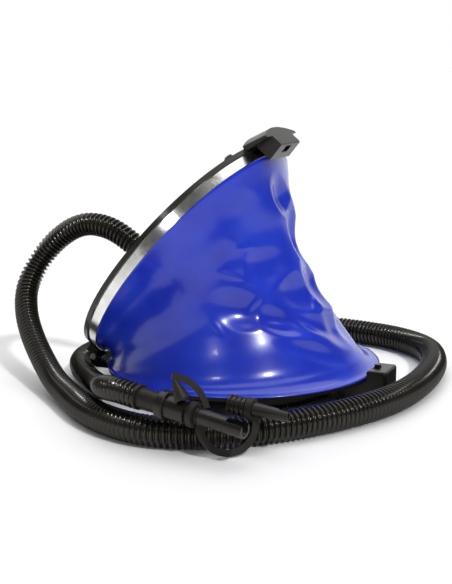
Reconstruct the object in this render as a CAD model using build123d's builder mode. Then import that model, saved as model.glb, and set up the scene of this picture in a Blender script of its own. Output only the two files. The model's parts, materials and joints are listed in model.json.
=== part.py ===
"""Bellows foot pump: base, hinged tread plate, bellows, catch, valves, hose and nozzle set."""

import os
from math import cos, pi, radians, sin, tan

from build123d import *

# Driving dimensions, in millimetres and degrees. The origin is the centre of the base on the
# floor, +X points to the catch, and the hinge runs along Y at the -X end.
BASE_R = 124.5
BASE_TOP = 22.6
BASE_T = 3.0
SKIRT_R = 88.0
SKIRT_T = 3.0
FEET_T = 1.5

# The base and the tread plate lie in two planes that meet in the wedge line, which runs along Y.
WEDGE_X = -129.4
WEDGE_Z = 21.2
OPEN_ANGLE = 50.3
TOP_CENTRE = 125.9
BAND_R = 123.7
BAND_H = 9.5
BAND_T = 1.0
RIM_R = 125.2
RIM_T = 4.4
WEB_T = 3.0

PIN_X = -127.0
PIN_Z = 27.0
PIN_R = 1.6
LUG_R = 4.5
TOP_LUG_Y = (40.0, 48.0)
BASE_LUG_Y = (49.0, 57.0)
RUNNING_GAP = 0.08

BELLOWS_T = 1.2
BELLOWS_LIP_R = 125.0
BELLOWS_SLEEVE_R = 122.5

CATCH_HALF_W = 16.2
CATCH_X = (124.6, 142.4)
CATCH_Z = (9.0, 29.6)
CATCH_WALL = 2.2

SPRING_DISTANCE = 118.0
SPRING_BASE_R = 27.0
SPRING_TOP_R = 12.5
SPRING_WIRE_R = 1.5
SPRING_TURNS = 5
SEAT_T = 1.5

SOCKET_A = 90.0
SPIGOT_R = 8.6
SPIGOT_END = 34.0

HOSE_WALL = 1.5
HOSE_ARC_R = 11.2
HOSE_R = 12.4
HOSE_END_R = 10.2

NOZZLE_START = Vector(-1.6, -192.5, 39.5)
NOZZLE_DIRECTION = Vector(0.983, -0.152, -0.106)

COS_OPEN = cos(radians(OPEN_ANGLE))
SIN_OPEN = sin(radians(OPEN_ANGLE))

# The tread plate's own plane: its origin is on the wedge line, x runs up the plate away from the
# hinge, y is the row's Y, and z is the plate's outward normal.
TREAD = Plane(
    origin=(WEDGE_X, 0, WEDGE_Z), x_dir=(COS_OPEN, 0, SIN_OPEN), z_dir=(-SIN_OPEN, 0, COS_OPEN)
)
RIM_TOP = BAND_H + RIM_T
WEB_TOP = BAND_H + WEB_T

os.makedirs("parts", exist_ok=True)


def save(piece, name):
    """Label a finished piece and write its STEP file."""
    piece.part.label = name
    export_step(piece.part, f"parts/{name}.step")


def side_plane(y):
    """XZ plane at a given Y, with sketch x along row X and sketch y along row Z."""
    return Plane(origin=(0, y, 0), x_dir=(1, 0, 0), z_dir=(0, -1, 0))


def tread_side_plane(y):
    """The same for the tread plate: sketch x runs up the plate and sketch y outward."""
    origin = TREAD.from_local_coords(Vector(0, y, 0))
    return Plane(origin=origin, x_dir=TREAD.x_dir, z_dir=(0, -1, 0))


def front_plane(x):
    """YZ plane at a given X, facing +X."""
    return Plane(origin=(x, 0, 0), x_dir=(0, 1, 0), z_dir=(1, 0, 0))


def ring(outer_r, inner_r):
    """Flat ring in the sketch that is open."""
    Circle(outer_r)
    Circle(inner_r, mode=Mode.SUBTRACT)


# --- Base side ---------------------------------------------------------------------------------

# Base plate: a disc on two arcs of skirt, the front one with air slots, and two hinge lugs.
SLOT_PITCH = 2.0
SLOT_COUNT = 19
SLOT_FIRST = 24.0
SLOT_W = 1.7
SLOT_TOP = 4.2
SKIRT_END_FRONT = 66.0
SKIRT_END_REAR = 125.0
SIDE_CUT = 300.0
INTAKE_X = WEDGE_X + SPRING_DISTANCE
PORT_CIRCLE_R = 7.0
PORT_R = 2.4
STEM_HOLE_R = 1.6
SCREW_CIRCLE_R = 110.5
SCREW_COUNT = 8
SCREW_START = 22.5
SCREW_HOLE_R = 1.7
FOOT_SCREW_X = 106.0
FOOT_SCREW_Y = 8.0
with BuildPart() as base_plate:
    with BuildSketch(Plane.XY.offset(BASE_TOP - BASE_T)):
        Circle(BASE_R)
    extrude(amount=BASE_T)
    with BuildSketch(Plane.XY.offset(FEET_T)):
        ring(SKIRT_R, SKIRT_R - SKIRT_T)
        for side in (-1, 1):
            front_end = radians(SKIRT_END_FRONT) * side
            rear_end = radians(SKIRT_END_REAR) * side
            Polygon((0, 0), (SIDE_CUT * cos(front_end), SIDE_CUT * sin(front_end)),
                    (SIDE_CUT * cos(rear_end), SIDE_CUT * sin(rear_end)),
                    align=None, mode=Mode.SUBTRACT)
    extrude(amount=BASE_TOP - BASE_T - FEET_T)
    for lug_y in (-BASE_LUG_Y[0], BASE_LUG_Y[1]):
        with BuildSketch(side_plane(lug_y)):
            Polygon((-106, 17), (-106, 22.2), (-123.4, 22.2), (-123.4, PIN_Z),
                    (-131.4, PIN_Z), (-129.5, 19.5), (-124, 17), align=None)
            with Locations((PIN_X, PIN_Z)):
                Circle(LUG_R)
        extrude(amount=BASE_LUG_Y[1] - BASE_LUG_Y[0])
    with BuildSketch(Plane.XY.offset(BASE_TOP)):
        with Locations((INTAKE_X, 0)):
            Circle(STEM_HOLE_R)
            with PolarLocations(PORT_CIRCLE_R, 6):
                Circle(PORT_R)
        with PolarLocations(SCREW_CIRCLE_R, SCREW_COUNT, start_angle=SCREW_START):
            Circle(SCREW_HOLE_R)
        with Locations((FOOT_SCREW_X, FOOT_SCREW_Y), (FOOT_SCREW_X, -FOOT_SCREW_Y)):
            Circle(SCREW_HOLE_R)
    extrude(amount=-BASE_T, mode=Mode.SUBTRACT)
    for first_angle in (SLOT_FIRST, -SLOT_FIRST - SLOT_PITCH * (SLOT_COUNT - 1)):
        with PolarLocations(SKIRT_R - SKIRT_T / 2, SLOT_COUNT, start_angle=first_angle,
                            angular_range=SLOT_PITCH * SLOT_COUNT):
            Box(SKIRT_T * 3, SLOT_W, SLOT_TOP * 2, mode=Mode.SUBTRACT)
    with Locations(Location((PIN_X, 0, PIN_Z), (90, 0, 0))):
        Cylinder(PIN_R + RUNNING_GAP / 4, 2 * BASE_LUG_Y[1] + 1, mode=Mode.SUBTRACT)
save(base_plate, "base_plate")

# Front foot: the block under the disc's edge that stands on the floor and carries the catch.
FOOT_X = (97.0, CATCH_X[0])
FOOT_TOP = BASE_TOP - BASE_T
FOOT_SCREW_HEAD_R = 3.0
FOOT_SCREW_HEAD_Z = (1.5, 4.0)
CATCH_SCREW_Y = 9.0
CATCH_SCREW_Z = 11.6
CATCH_SCREW_R = 1.5
CATCH_SCREW_DEPTH = 11.0
with BuildPart() as front_foot:
    with BuildSketch(side_plane(CATCH_HALF_W)):
        Polygon((FOOT_X[0], FOOT_TOP), (FOOT_X[0], 8), (FOOT_X[0] + 5, 0), (FOOT_X[1], 0),
                (FOOT_X[1], FOOT_TOP), align=None)
    extrude(amount=2 * CATCH_HALF_W)
    with BuildSketch(Plane.XY):
        with Locations((FOOT_SCREW_X, FOOT_SCREW_Y), (FOOT_SCREW_X, -FOOT_SCREW_Y)):
            Circle(FOOT_SCREW_HEAD_R + 0.3)
    extrude(amount=FOOT_SCREW_HEAD_Z[1], mode=Mode.SUBTRACT)
    with BuildSketch(Plane.XY):
        with Locations((FOOT_SCREW_X, FOOT_SCREW_Y), (FOOT_SCREW_X, -FOOT_SCREW_Y)):
            Circle(SCREW_HOLE_R)
    extrude(amount=FOOT_TOP, mode=Mode.SUBTRACT)
    with BuildSketch(front_plane(FOOT_X[1])):
        with Locations((CATCH_SCREW_Y, CATCH_SCREW_Z), (-CATCH_SCREW_Y, CATCH_SCREW_Z)):
            Circle(CATCH_SCREW_R)
    extrude(amount=-CATCH_SCREW_DEPTH, mode=Mode.SUBTRACT)
save(front_foot, "front_foot")

with BuildPart() as foot_screws:
    with BuildSketch(Plane.XY.offset(FOOT_SCREW_HEAD_Z[0])):
        with Locations((FOOT_SCREW_X, FOOT_SCREW_Y), (FOOT_SCREW_X, -FOOT_SCREW_Y)):
            Circle(FOOT_SCREW_HEAD_R)
    extrude(amount=FOOT_SCREW_HEAD_Z[1] - FOOT_SCREW_HEAD_Z[0])
    with BuildSketch(Plane.XY.offset(FOOT_SCREW_HEAD_Z[1])):
        with Locations((FOOT_SCREW_X, FOOT_SCREW_Y), (FOOT_SCREW_X, -FOOT_SCREW_Y)):
            Circle(SCREW_HOLE_R - 0.1)
    extrude(amount=BASE_TOP - FOOT_SCREW_HEAD_Z[1])
save(foot_screws, "foot_screws")

# Rubber feet under the ends of the two skirt arcs.
FEET_ANGLES = (62, 129, 231, 298)
FEET_R = 5.0
with BuildPart() as rubber_feet:
    with BuildSketch(Plane.XY):
        for foot_angle in FEET_ANGLES:
            with PolarLocations(SKIRT_R - SKIRT_T / 2, 1, start_angle=foot_angle):
                Circle(FEET_R)
    extrude(amount=FEET_T)
save(rubber_feet, "rubber_feet")

# Steel ring that clamps the bellows' lower flange, and its screws from below.
RING_R = (106.0, 115.0)
RING_BOTTOM = BASE_TOP + BELLOWS_T
RING_T = 1.6
SCREW_R = 1.6
SCREW_HEAD_R = 3.0
SCREW_HEAD_H = 1.6
with BuildPart() as bellows_ring:
    with BuildSketch(Plane.XY.offset(RING_BOTTOM)):
        ring(RING_R[1], RING_R[0])
        with PolarLocations(SCREW_CIRCLE_R, SCREW_COUNT, start_angle=SCREW_START):
            Circle(SCREW_HOLE_R, mode=Mode.SUBTRACT)
    extrude(amount=RING_T)
save(bellows_ring, "bellows_ring")

with BuildPart() as ring_screws:
    with BuildSketch(Plane.XY.offset(BASE_TOP - BASE_T)):
        with PolarLocations(SCREW_CIRCLE_R, SCREW_COUNT, start_angle=SCREW_START):
            Circle(SCREW_R)
    extrude(amount=BASE_T + BELLOWS_T + RING_T)
    with BuildSketch(Plane.XY.offset(BASE_TOP - BASE_T)):
        with PolarLocations(SCREW_CIRCLE_R, SCREW_COUNT, start_angle=SCREW_START):
            Circle(SCREW_HEAD_R)
    extrude(amount=-SCREW_HEAD_H)
save(ring_screws, "ring_screws")

# Hinge pins, one at each side, tight in the base lugs and free in the tread plate's ears.
PIN_HEAD_R = 3.0
PIN_HEAD_T = 1.2
with BuildPart() as hinge_pins:
    for pin_side in (-1, 1):
        with BuildSketch(side_plane(pin_side * (TOP_LUG_Y[0] - 0.5))):
            with Locations((PIN_X, PIN_Z)):
                Circle(PIN_R)
        extrude(amount=-pin_side * (BASE_LUG_Y[1] - TOP_LUG_Y[0] + 0.5))
        with BuildSketch(side_plane(pin_side * BASE_LUG_Y[1])):
            with Locations((PIN_X, PIN_Z)):
                Circle(PIN_HEAD_R)
        extrude(amount=-pin_side * PIN_HEAD_T)
save(hinge_pins, "hinge_pins")

# Catch block: a hollow block on the front foot with a slot for the latch tooth and a hole in its
# far side for the release bar, which slides on a shelf inside.
BAR_X = (130.2, 138.2)
BAR_Z = (17.0, 24.8)
BAR_Y = (-9.0, 20.4)
SHELF_T = 2.0
SLIDE_GAP = 0.2
TOOTH_X = (127.4, 132.0)
TOOTH_HALF_W = 2.5
TOOTH_TOP = 32.4
LATCH_TRAVEL = 3.5
CATCH_MID_X = (CATCH_X[0] + CATCH_X[1]) / 2
CATCH_LENGTH = CATCH_X[1] - CATCH_X[0]
BAR_MID = ((BAR_X[0] + BAR_X[1]) / 2, (BAR_Z[0] + BAR_Z[1]) / 2)
with BuildPart() as catch_block:
    with BuildSketch(Plane.XY.offset(CATCH_Z[0])):
        with Locations((CATCH_MID_X, 0)):
            Rectangle(CATCH_LENGTH, 2 * CATCH_HALF_W)
    extrude(amount=CATCH_Z[1] - CATCH_Z[0])
    fillet(edges().filter_by(Axis.Z).group_by(Axis.X)[-1], 3)
    fillet(faces().sort_by(Axis.Z)[-1].edges(), 2)
    with BuildSketch(Plane.XY.offset(CATCH_Z[0])):
        with Locations((CATCH_MID_X, 0)):
            Rectangle(CATCH_LENGTH - 2 * CATCH_WALL, 2 * (CATCH_HALF_W - CATCH_WALL))
    extrude(amount=CATCH_Z[1] - CATCH_Z[0] - CATCH_WALL, mode=Mode.SUBTRACT)
    with BuildSketch(Plane.XY.offset(BAR_Z[0] - SLIDE_GAP)):
        with Locations((CATCH_MID_X, 0)):
            Rectangle(CATCH_LENGTH - CATCH_WALL, 2 * CATCH_HALF_W - CATCH_WALL)
    extrude(amount=-SHELF_T)
    with BuildSketch(Plane.XY.offset(CATCH_Z[1])):
        with Locations(((TOOTH_X[0] + TOOTH_X[1]) / 2, -LATCH_TRAVEL / 2)):
            Rectangle(TOOTH_X[1] - TOOTH_X[0] + 1, 2 * TOOTH_HALF_W + LATCH_TRAVEL + 2)
    extrude(amount=-CATCH_WALL - 0.5, mode=Mode.SUBTRACT)
    with BuildSketch(side_plane(CATCH_HALF_W + 1)):
        with Locations(BAR_MID):
            Rectangle(BAR_X[1] - BAR_X[0] + 2 * SLIDE_GAP, BAR_Z[1] - BAR_Z[0] + 2 * SLIDE_GAP)
    extrude(amount=CATCH_WALL + 2, mode=Mode.SUBTRACT)
    with BuildSketch(front_plane(CATCH_X[0])):
        with Locations((CATCH_SCREW_Y, CATCH_SCREW_Z), (-CATCH_SCREW_Y, CATCH_SCREW_Z)):
            Circle(CATCH_SCREW_R + 0.1)
    extrude(amount=CATCH_WALL + 1, mode=Mode.SUBTRACT)
save(catch_block, "catch_block")

with BuildPart() as catch_screws:
    with BuildSketch(front_plane(CATCH_X[0] - CATCH_SCREW_DEPTH)):
        with Locations((CATCH_SCREW_Y, CATCH_SCREW_Z), (-CATCH_SCREW_Y, CATCH_SCREW_Z)):
            Circle(CATCH_SCREW_R)
    extrude(amount=CATCH_SCREW_DEPTH + CATCH_WALL)
    with BuildSketch(front_plane(CATCH_X[0] + CATCH_WALL)):
        with Locations((CATCH_SCREW_Y, CATCH_SCREW_Z), (-CATCH_SCREW_Y, CATCH_SCREW_Z)):
            Circle(2.5)
    extrude(amount=1.6)
save(catch_screws, "catch_screws")

# Release bar: the button end shows at the far side of the catch block, the tooth on its top.
with BuildPart() as latch_button:
    with BuildSketch(side_plane(BAR_Y[1])):
        with Locations(BAR_MID):
            Rectangle(BAR_X[1] - BAR_X[0], BAR_Z[1] - BAR_Z[0])
    extrude(amount=BAR_Y[1] - BAR_Y[0])
    fillet(edges().filter_by(Axis.Y), 1)
    with BuildSketch(front_plane(TOOTH_X[0])):
        Polygon((-TOOTH_HALF_W, BAR_Z[1] - 3), (TOOTH_HALF_W, BAR_Z[1] - 3),
                (TOOTH_HALF_W, TOOTH_TOP - 2), (0.5, TOOTH_TOP), (-TOOTH_HALF_W, TOOTH_TOP),
                align=None)
    extrude(amount=TOOTH_X[1] - TOOTH_X[0])
save(latch_button, "latch_button")


def coil_spring(plane, coil_r, wire_r, height, turns):
    """Cylindrical spring that stands on a plane, with its wire wholly above it."""
    pitch = (height - 2 * wire_r) / turns
    with BuildPart() as spring:
        with BuildLine() as path:
            Helix(pitch=pitch, height=pitch * turns, radius=coil_r,
                  center=plane.origin + plane.z_dir * wire_r, direction=plane.z_dir)
        with BuildSketch(Plane(origin=path.line @ 0, z_dir=path.line % 0)):
            Circle(wire_r)
        sweep(is_frenet=True)
    return spring


# Spring that pushes the release bar back out.
LATCH_SPRING_Y = -CATCH_HALF_W + CATCH_WALL + 0.05
LATCH_SPRING_PLANE = Plane(origin=(BAR_MID[0], LATCH_SPRING_Y, BAR_MID[1]), x_dir=(1, 0, 0),
                           z_dir=(0, 1, 0))
save(coil_spring(LATCH_SPRING_PLANE, 2.6, 0.3, BAR_Y[0] - LATCH_SPRING_Y - 0.1, 4),
     "latch_spring")

# Intake valve: a rubber disc on a stem over the ring of holes, kept by a cage.
DISC_R = 12.5
DISC_T = 1.2
VALVE_LIFT = 3.0
CAGE_TOP = BASE_TOP + DISC_T + VALVE_LIFT + 1.8
INTAKE_PLANE = Plane(origin=(INTAKE_X, 0, BASE_TOP))
with BuildPart() as intake_disc:
    with BuildSketch(INTAKE_PLANE.offset(0.05)):
        Circle(DISC_R)
    extrude(amount=DISC_T)
    with BuildSketch(INTAKE_PLANE.offset(0.5)):
        Circle(STEM_HOLE_R - 0.25)
    extrude(amount=-8)
save(intake_disc, "intake_disc")

with BuildPart() as intake_cage:
    with BuildSketch(INTAKE_PLANE):
        ring(DISC_R + 3, DISC_R + 1)
    extrude(amount=CAGE_TOP - BASE_TOP)
    with BuildSketch(INTAKE_PLANE.offset(CAGE_TOP - BASE_TOP)):
        Rectangle(2 * DISC_R + 4, 4)
        Rectangle(4, 2 * DISC_R + 4)
    extrude(amount=-1.6)
    with BuildSketch(INTAKE_PLANE.offset(1)):
        Rectangle(2 * DISC_R + 10, 12, rotation=45)
        Rectangle(2 * DISC_R + 10, 12, rotation=-45)
    extrude(amount=2.4, mode=Mode.SUBTRACT)
save(intake_cage, "intake_cage")


def spring_seat(plane, inner_r, outer_r):
    """Flat ring with a raised lip that keeps an end of the return spring in place."""
    with BuildPart() as seat:
        with BuildSketch(plane):
            ring(outer_r, inner_r)
        extrude(amount=SEAT_T)
        with BuildSketch(plane.offset(SEAT_T)):
            ring(outer_r, outer_r - 1.4)
        extrude(amount=1.5)
    return seat


save(spring_seat(INTAKE_PLANE, SPRING_BASE_R - 3, SPRING_BASE_R + 4), "lower_spring_seat")

# --- Bellows and return spring -----------------------------------------------------------------


def wedge_plane(angle, distance):
    """Plane through the wedge line at an angle from the floor, centred at a distance from it."""
    c = cos(radians(angle))
    s = sin(radians(angle))
    return Plane(origin=(WEDGE_X + distance * c, 0, WEDGE_Z + distance * s),
                 x_dir=(c, 0, s), z_dir=(-s, 0, c))


# Each bellows section is a circle in a plane through the wedge line: its share of the opening
# angle, and its nearest and farthest distance from that line. The wall is drawn in at mid height.
BELLOWS_SECTIONS = (
    (0.0, 4.4, 254.4), (0.12, 5.2, 228.0), (0.35, 6.4, 212.0), (0.65, 6.4, 211.0),
    (0.9, 5.2, 230.0), (1.0, 3.4, 248.4),
)


def bellows_core(inset):
    """Solid inside the bellows' outline, drawn in by an inset."""
    with BuildPart() as core:
        for share, near, far in BELLOWS_SECTIONS:
            with BuildSketch(wedge_plane(share * OPEN_ANGLE, (near + far) / 2)):
                Circle((far - near) / 2 - inset)
        loft()
    return core.part


with BuildPart() as bellows:
    add(bellows_core(0))
    add(bellows_core(BELLOWS_T), mode=Mode.SUBTRACT)
    split(bisect_by=Plane.XY.offset(BASE_TOP), keep=Keep.TOP)
    with BuildSketch(Plane.XY.offset(BASE_TOP)):
        ring(BELLOWS_LIP_R - 1, RING_R[0])
        with PolarLocations(SCREW_CIRCLE_R, SCREW_COUNT, start_angle=SCREW_START):
            Circle(SCREW_HOLE_R, mode=Mode.SUBTRACT)
    extrude(amount=BELLOWS_T)
    with BuildSketch(wedge_plane(OPEN_ANGLE, TOP_CENTRE)):
        ring(BELLOWS_SLEEVE_R, BELLOWS_SLEEVE_R - BELLOWS_T)
    extrude(amount=BAND_H - 0.5)
save(bellows, "bellows")

# Return spring: a conical coil whose axis bends about the wedge line and whose turns nest.
SPRING_POINTS_PER_TURN = 8
SPRING_FIRST_ANGLE = 2.2
SPRING_LAST_ANGLE = OPEN_ANGLE + 2.7
spring_points = []
for step in range(SPRING_TURNS * SPRING_POINTS_PER_TURN + 1):
    spring_share = step / (SPRING_TURNS * SPRING_POINTS_PER_TURN)
    turn_angle = 2 * pi * step / SPRING_POINTS_PER_TURN
    coil_r = SPRING_BASE_R + (SPRING_TOP_R - SPRING_BASE_R) * spring_share
    lean = SPRING_FIRST_ANGLE + (SPRING_LAST_ANGLE - SPRING_FIRST_ANGLE) * spring_share
    spring_points.append(
        wedge_plane(lean, SPRING_DISTANCE).from_local_coords(
            Vector(coil_r * cos(turn_angle), coil_r * sin(turn_angle), 0)))
with BuildPart() as return_spring:
    with BuildLine() as spring_path:
        Spline(*spring_points)
    with BuildSketch(Plane(origin=spring_path.line @ 0, z_dir=spring_path.line % 0)):
        Circle(SPRING_WIRE_R)
    sweep()
save(return_spring, "return_spring")

# --- Tread side --------------------------------------------------------------------------------

# Top plate: a round rim with a recessed web, a ring below that carries the bellows' sleeve, ribs,
# and two hinge ears outside the sleeve.
TREAD_CENTRE = wedge_plane(OPEN_ANGLE, TOP_CENTRE)
RECESS_R = 117.0
FLANGE_R = (117.5, 121.0)
FLANGE_BOTTOM = 0.6
RIB_COUNT = 8
RIB_X = (45.0, 118.0)
RIB_DEPTH = 5.5
EAR_A = (0.8, 14.0)
EAR_ARM_A = (1.5, 8.55)
EAR_CLEAR_R = 124.0
PIN_A = 5.995
PIN_N = 1.858
SOCKET_HOLE_R = 6.5
SOCKET_SCREW_CIRCLE_R = 16.5
SOCKET_SCREW_R = 1.4
BOSS_ANGLES = (24, -24)
BOSS_CIRCLE_R = 120.4
BOSS_R = 4.4
BOSS_H = 2.2
SOCKET_PLANE = TREAD.offset(WEB_TOP).shift_origin(
    TREAD.from_local_coords(Vector(SOCKET_A, 0, WEB_TOP)))
with BuildPart() as top_plate:
    for ear_y in (-TOP_LUG_Y[0], TOP_LUG_Y[1]):
        with BuildSketch(tread_side_plane(ear_y)):
            Polygon((EAR_A[0], RIM_TOP), (EAR_A[1], RIM_TOP), (EAR_A[1], BAND_H),
                    (EAR_ARM_A[1], BAND_H), (EAR_ARM_A[1], PIN_N), (EAR_ARM_A[0], PIN_N),
                    (EAR_ARM_A[0], BAND_H), (EAR_A[0], BAND_H), align=None)
            with Locations((PIN_A, PIN_N)):
                Circle(LUG_R)
        extrude(amount=TOP_LUG_Y[1] - TOP_LUG_Y[0])
    with BuildSketch(TREAD_CENTRE.offset(BAND_H)):
        Circle(EAR_CLEAR_R)
    extrude(amount=-2 * BAND_H, mode=Mode.SUBTRACT)
    with BuildSketch(TREAD_CENTRE.offset(BAND_H)):
        Circle(RIM_R)
    extrude(amount=RIM_T)
    with BuildSketch(TREAD_CENTRE.offset(RIM_TOP)):
        Circle(RECESS_R)
    extrude(amount=WEB_TOP - RIM_TOP, mode=Mode.SUBTRACT)
    with BuildSketch(TREAD_CENTRE.offset(BAND_H)):
        ring(FLANGE_R[1], FLANGE_R[0])
    extrude(amount=FLANGE_BOTTOM - BAND_H)
    with BuildSketch(TREAD_CENTRE.offset(BAND_H)):
        with PolarLocations((RIB_X[0] + RIB_X[1]) / 2, RIB_COUNT, start_angle=SCREW_START):
            Rectangle(RIB_X[1] - RIB_X[0], 2.4)
    extrude(amount=-RIB_DEPTH)
    with BuildSketch(TREAD_CENTRE.offset(RIM_TOP)):
        for boss_angle in BOSS_ANGLES:
            with PolarLocations(BOSS_CIRCLE_R, 1, start_angle=boss_angle):
                Circle(BOSS_R)
    extrude(amount=BOSS_H)
    with BuildSketch(SOCKET_PLANE):
        Circle(SOCKET_HOLE_R)
        with PolarLocations(SOCKET_SCREW_CIRCLE_R, 3):
            Circle(SOCKET_SCREW_R + 0.1)
    extrude(amount=-WEB_T, mode=Mode.SUBTRACT)
    with Locations(Location((PIN_X, 0, PIN_Z), (90, 0, 0))):
        Cylinder(PIN_R + RUNNING_GAP, 2 * TOP_LUG_Y[1] + 1, mode=Mode.SUBTRACT)
save(top_plate, "top_plate")

with BuildPart() as rim_screws:
    with BuildSketch(TREAD_CENTRE.offset(RIM_TOP + BOSS_H)):
        for boss_angle in BOSS_ANGLES:
            with PolarLocations(BOSS_CIRCLE_R, 1, start_angle=boss_angle):
                Circle(2.8)
    extrude(amount=1.4)
save(rim_screws, "rim_screws")

# Steel band that clamps the bellows' sleeve on the plate's ring, with its lock and screw.
BAND_BOTTOM = 0.3
BAND_LOCK_N = (1.6, 8.4)
BAND_LOCK_LENGTH = 14.0
BAND_LOCK_T = 3.2
with BuildPart() as top_band:
    with BuildSketch(TREAD_CENTRE.offset(BAND_BOTTOM)):
        ring(BAND_R, BAND_R - BAND_T)
    extrude(amount=BAND_H - BAND_BOTTOM)
save(top_band, "top_band")

LOCK_MID_Y = BAND_R + 0.05 + BAND_LOCK_T / 2
BAND_SCREW_R = 1.0
with BuildPart() as band_lock:
    with BuildSketch(TREAD_CENTRE.offset(BAND_LOCK_N[0])):
        with Locations((0, LOCK_MID_Y)):
            Rectangle(BAND_LOCK_LENGTH, BAND_LOCK_T)
        Circle(BAND_R, mode=Mode.SUBTRACT)
    extrude(amount=BAND_LOCK_N[1] - BAND_LOCK_N[0])
    with BuildSketch(TREAD_CENTRE.offset(BAND_LOCK_N[0])):
        with Locations((0, LOCK_MID_Y + 0.5)):
            Rectangle(BAND_LOCK_LENGTH + 2, 2 * BAND_SCREW_R + 0.2)
    extrude(amount=1, mode=Mode.SUBTRACT)
save(band_lock, "band_lock")

with BuildPart() as band_screw:
    with BuildSketch(TREAD_CENTRE.offset(BAND_LOCK_N[0] - 1.2)):
        with Locations((0, LOCK_MID_Y + 0.5)):
            Rectangle(BAND_LOCK_LENGTH + 2, 2 * BAND_SCREW_R)
        Circle(BAND_R + 0.2, mode=Mode.SUBTRACT)
    extrude(amount=2)
save(band_screw, "band_screw")

# Ribbed rubber tread in the plate's recess.
TREAD_A = (130.0, 222.0)
TREAD_W = 108.0
TREAD_T = 3.5
TREAD_RIB_PITCH = 8.0
with BuildPart() as foot_tread:
    tread_pad_plane = wedge_plane(OPEN_ANGLE, (TREAD_A[0] + TREAD_A[1]) / 2)
    with BuildSketch(tread_pad_plane.offset(WEB_TOP)):
        RectangleRounded(TREAD_A[1] - TREAD_A[0], TREAD_W, 14)
    extrude(amount=TREAD_T)
    with BuildSketch(tread_pad_plane.offset(WEB_TOP + TREAD_T)):
        with GridLocations(TREAD_RIB_PITCH, 0, 10, 1):
            RectangleRounded(3, TREAD_W - 26, 1.4)
    extrude(amount=1)
save(foot_tread, "foot_tread")

# Hook block under the front of the rim, with a pocket for the latch tooth.
HOOK_A = (251.2, 268.5)
HOOK_N = (-7.0, 9.5)
HOOK_HALF_W = 21.5
POCKET_A = (258.5, 265.9)
POCKET_Y = (-7.5, 5.0)
POCKET_TOP = 8.0
HOOK_SCREW_A = 255.0
HOOK_SCREW_Y = 10.0
HOOK_SCREW_R = 1.7
hook_plane = TREAD.offset(HOOK_N[0])
with BuildPart() as hook_block:
    with BuildSketch(hook_plane):
        with Locations(((HOOK_A[0] + HOOK_A[1]) / 2, 0)):
            Rectangle(HOOK_A[1] - HOOK_A[0], 2 * HOOK_HALF_W)
    extrude(amount=HOOK_N[1] - HOOK_N[0])
    chamfer(edges().group_by(Axis.X)[-1], 1.2)
    with BuildSketch(hook_plane):
        with Locations(((POCKET_A[0] + POCKET_A[1]) / 2, sum(POCKET_Y) / 2)):
            Rectangle(POCKET_A[1] - POCKET_A[0], POCKET_Y[1] - POCKET_Y[0])
    extrude(amount=POCKET_TOP - HOOK_N[0], mode=Mode.SUBTRACT)
    with BuildSketch(TREAD.offset(HOOK_N[1])):
        with Locations((HOOK_SCREW_A, HOOK_SCREW_Y), (HOOK_SCREW_A, -HOOK_SCREW_Y)):
            Circle(HOOK_SCREW_R)
    extrude(amount=-12, mode=Mode.SUBTRACT)
save(hook_block, "hook_block")

# Foot pad: an arched nose that slopes down over the rim's front edge and the hook block.
PAD_HALF_W = 33.0
PAD_RISE = 7.0
PAD_EDGE_START = (247.0, 16.5)
PAD_END = 268.5
PAD_SLOPE = 24.8
PAD_LENGTH = 30.0
pad_slope = radians(PAD_SLOPE)
pad_along = TREAD.x_dir * cos(pad_slope) - TREAD.z_dir * sin(pad_slope)
PAD_PLANE = Plane(
    origin=TREAD.from_local_coords(Vector(PAD_EDGE_START[0], 0, PAD_EDGE_START[1])),
    x_dir=(0, 1, 0), z_dir=pad_along)
with BuildPart() as foot_pad:
    with BuildSketch(PAD_PLANE):
        with BuildLine():
            ThreePointArc((-PAD_HALF_W, 0), (0, PAD_RISE), (PAD_HALF_W, 0))
            Polyline((PAD_HALF_W, 0), (PAD_HALF_W, -20), (-PAD_HALF_W, -20), (-PAD_HALF_W, 0))
        make_face()
    extrude(amount=PAD_LENGTH)
    with BuildSketch(tread_side_plane(PAD_HALF_W + 1)):
        Polygon((244, 12.2), (257.3, 8.0), (PAD_END, 4.2), (PAD_END, 40), (244, 40), align=None)
    extrude(amount=2 * PAD_HALF_W + 2, mode=Mode.INTERSECT)
    with BuildSketch(TREAD_CENTRE.offset(RIM_TOP)):
        Circle(RIM_R + 0.05)
    extrude(amount=-20, mode=Mode.SUBTRACT)
    with BuildSketch(TREAD.offset(HOOK_N[1])):
        with Locations(((HOOK_A[0] + HOOK_A[1]) / 2, 0)):
            Rectangle(HOOK_A[1] - HOOK_A[0] + 0.1, 2 * HOOK_HALF_W + 0.1)
    extrude(amount=-20, mode=Mode.SUBTRACT)
    with BuildSketch(TREAD.offset(HOOK_N[1])):
        with Locations((HOOK_SCREW_A, HOOK_SCREW_Y), (HOOK_SCREW_A, -HOOK_SCREW_Y)):
            Circle(HOOK_SCREW_R + 0.1)
    extrude(amount=20, mode=Mode.SUBTRACT)
save(foot_pad, "foot_pad")

with BuildPart() as hook_screws:
    with BuildSketch(TREAD.offset(HOOK_N[1] - 11)):
        with Locations((HOOK_SCREW_A, HOOK_SCREW_Y), (HOOK_SCREW_A, -HOOK_SCREW_Y)):
            Circle(HOOK_SCREW_R - 0.1)
    extrude(amount=19)
save(hook_screws, "hook_screws")

UPPER_SEAT_PLANE = Plane(origin=TREAD.from_local_coords(Vector(SPRING_DISTANCE, 0, BAND_H)),
                         x_dir=TREAD.x_dir, z_dir=TREAD.z_dir * -1)
save(spring_seat(UPPER_SEAT_PLANE, SPRING_TOP_R - 3, SPRING_TOP_R + 4), "upper_spring_seat")

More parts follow.
